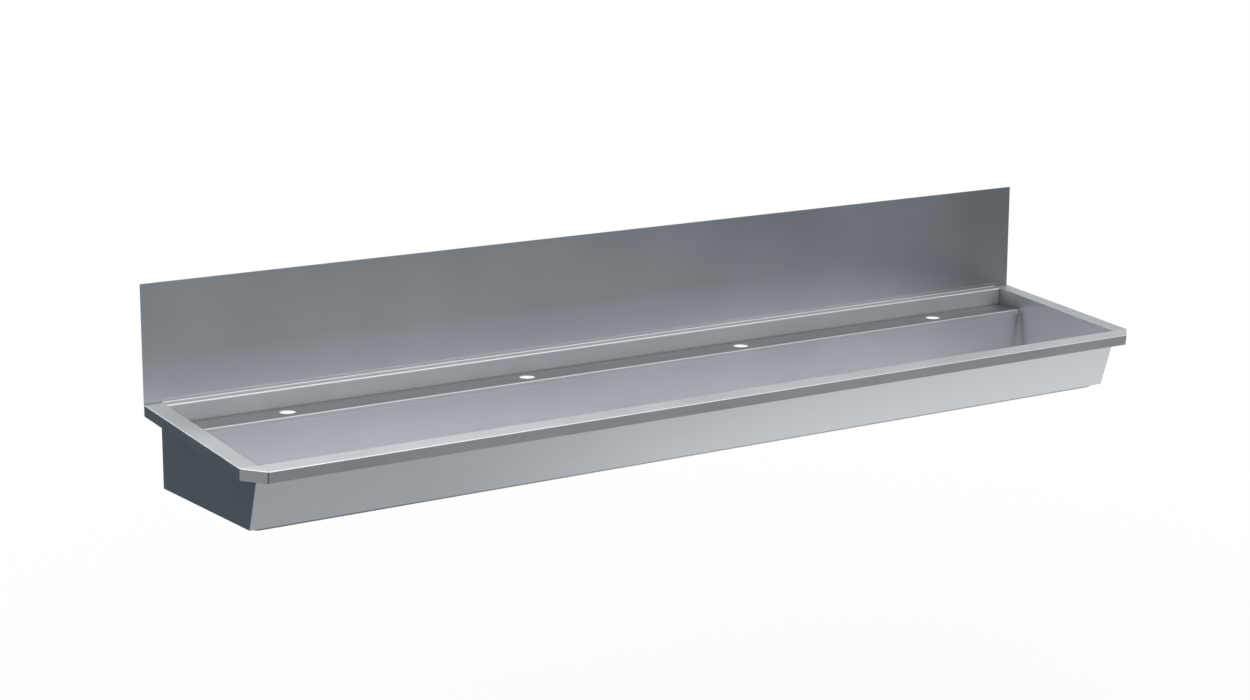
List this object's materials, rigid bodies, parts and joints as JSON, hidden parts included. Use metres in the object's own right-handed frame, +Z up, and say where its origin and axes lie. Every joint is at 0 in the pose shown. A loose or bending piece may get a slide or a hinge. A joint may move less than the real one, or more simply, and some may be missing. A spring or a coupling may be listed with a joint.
{
  "type": "trough sink",
  "caption": "Wall-hung stainless wash trough with a coved bowl, sloping rim, rear tap ledge with round tap holes, and a tall flat splashback.",
  "frame": {"origin": "On the wall face, at mid length, level with the rim's front top edge", "axes": "+X along the trough to the user's right, +Y into the wall, +Z up"},
  "size_m": [2.4, 0.4678, 0.4858],
  "materials": {
    "stainless": "satin stainless sheet, brushed along its length",
    "stainless_fine": "turned and polished stainless",
    "galvanised": "galvanised steel, dull with a faint spangle",
    "rubber": "black rubber, matt",
    "sound_pad": "dense grey damping felt in bitumen rubber",
    "brass": "plain machined brass"
  },
  "bodies": {
    "root": {"bowl_channel": "stainless", "left_bowl_end": "stainless", "right_bowl_end": "stainless", "tap_ledge": "stainless", "rear_rim": "stainless", "splashback": "stainless", "front_rim": "stainless", "left_rim": "stainless", "right_rim": "stainless", "left_corner": "stainless", "right_corner": "stainless", "front_panel": "stainless", "left_end_panel": "stainless", "right_end_panel": "stainless", "front_rim_stiffener": "galvanised", "lower_wall_rail": "galvanised", "left_hanger": "galvanised", "centre_hanger": "galvanised", "right_hanger": "galvanised", "waste_body": "stainless_fine", "strainer": "stainless_fine", "strainer_screw": "stainless_fine", "flange_seal": "rubber", "under_seal": "rubber", "nut_washer": "galvanised", "backnut": "brass", "left_sound_pad": "sound_pad", "right_sound_pad": "sound_pad", "earth_stud": "stainless_fine", "earth_washer": "brass", "earth_nuts": "brass"}
  },
  "joints": []
}
